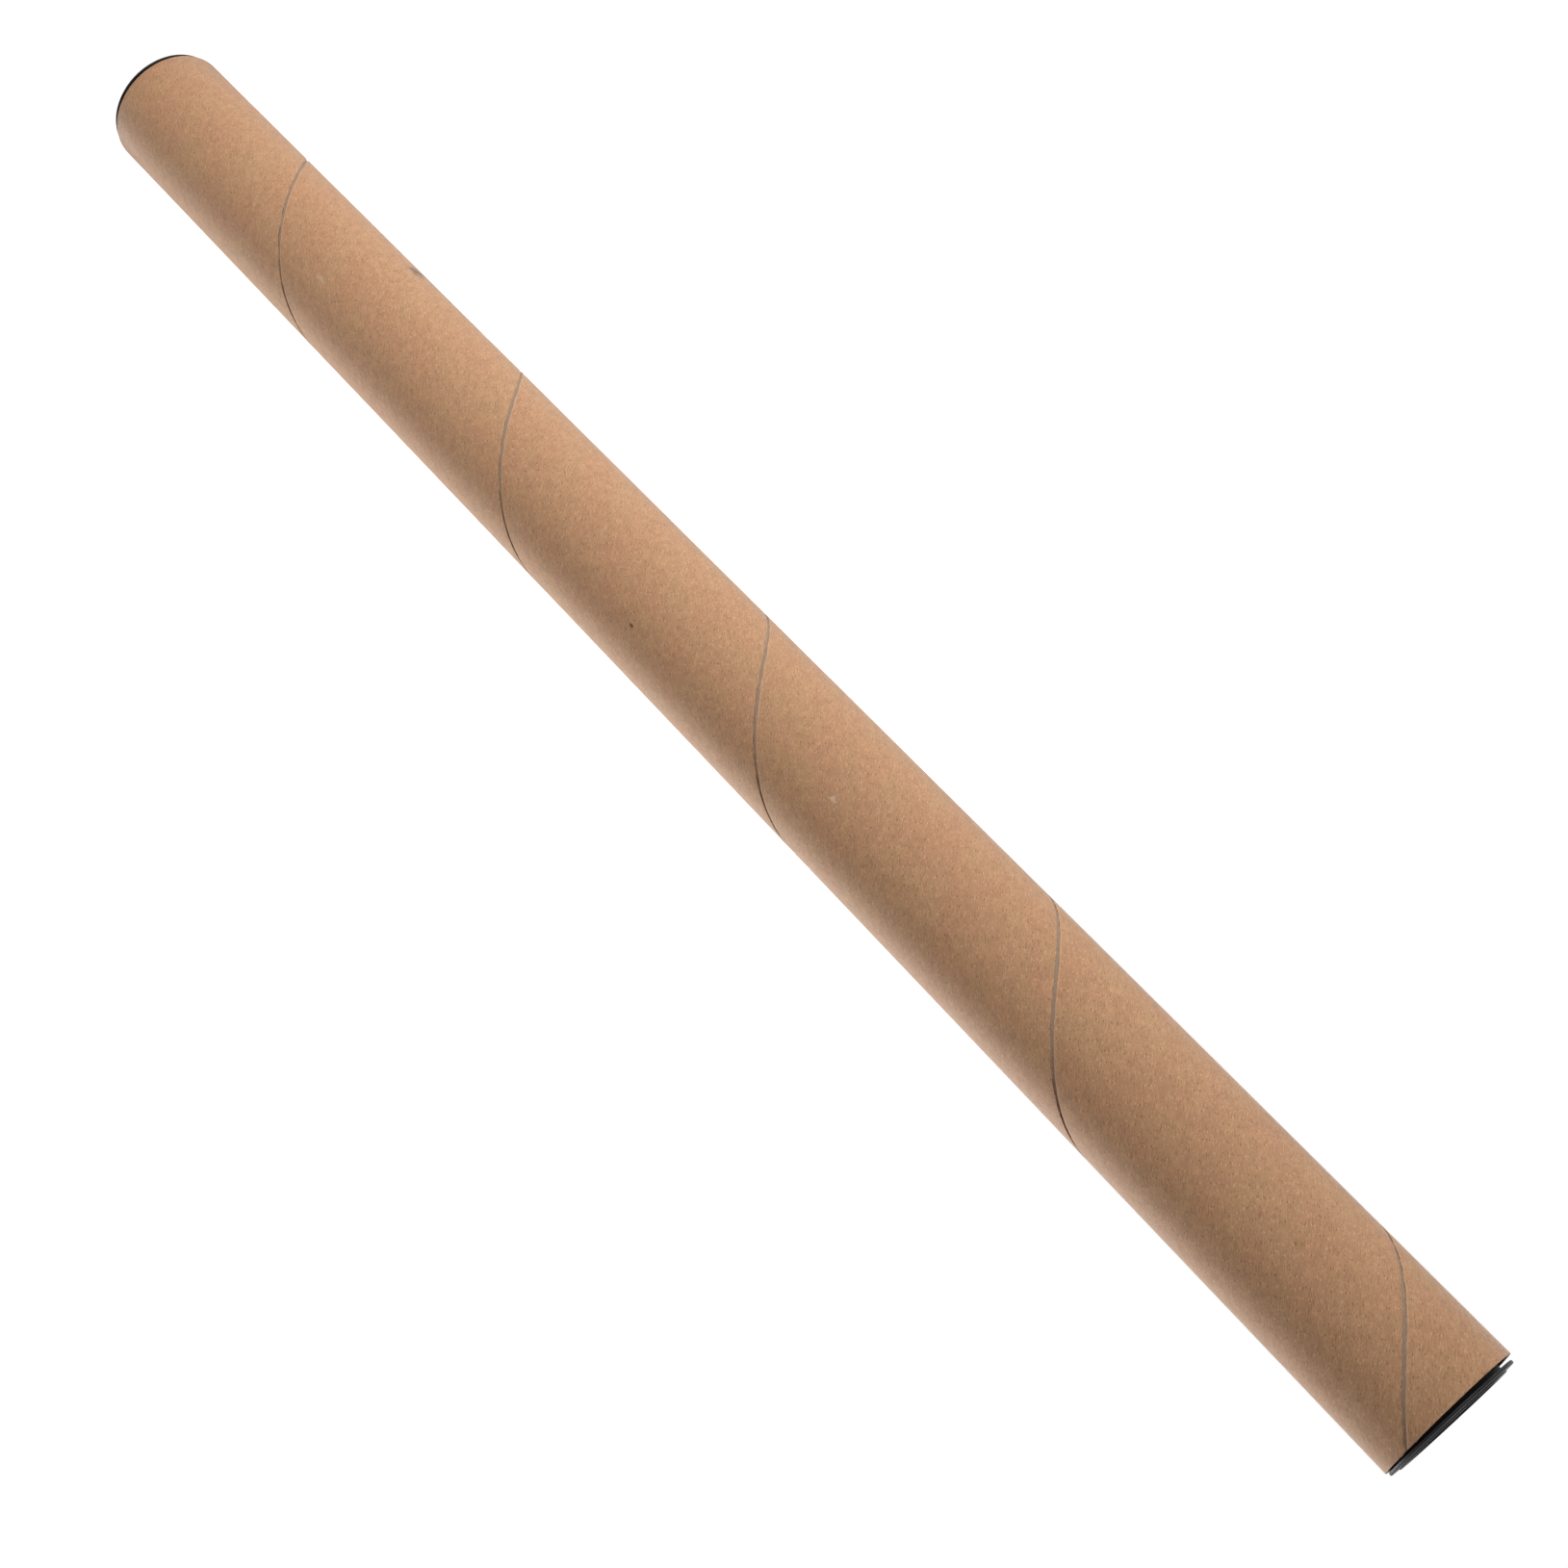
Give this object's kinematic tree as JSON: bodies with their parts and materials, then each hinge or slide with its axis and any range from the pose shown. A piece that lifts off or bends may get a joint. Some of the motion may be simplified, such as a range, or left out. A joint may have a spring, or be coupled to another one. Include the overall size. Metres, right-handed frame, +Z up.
{
  "type": "kraft poster tube",
  "caption": "Spirally wound kraft board tube for posters, closed at each end by a flanged plastic push-in plug that pulls out.",
  "frame": {"origin": "middle of the bottom plug's raised ring, on the plane that the tube stands on", "axes": "+Z up along the tube from its straight plug to its tipped one, -Y the side that faces the picture's camera, +X the side on which the seam climbs away from the front"},
  "size_m": [0.032, 0.032, 0.4489],
  "materials": {
    "kraft_board": "matte",
    "black_plug": "satin"
  },
  "bodies": {
    "tube": {"kraft_tube": "kraft_board"},
    "bottom_plug": {"bottom_plug": "black_plug"},
    "top_plug": {"top_plug": "black_plug"}
  },
  "joints": [
    {"name": "top_plug_pull", "type": "slide", "parent": "tube", "child": "top_plug", "axis": [0, 0, 1], "range_m": [0, 0.05]},
    {"name": "bottom_plug_pull", "type": "slide", "parent": "bottom_plug", "child": "tube", "axis": [0, 0, 1], "range_m": [-0.0008, 0.05]}
  ]
}
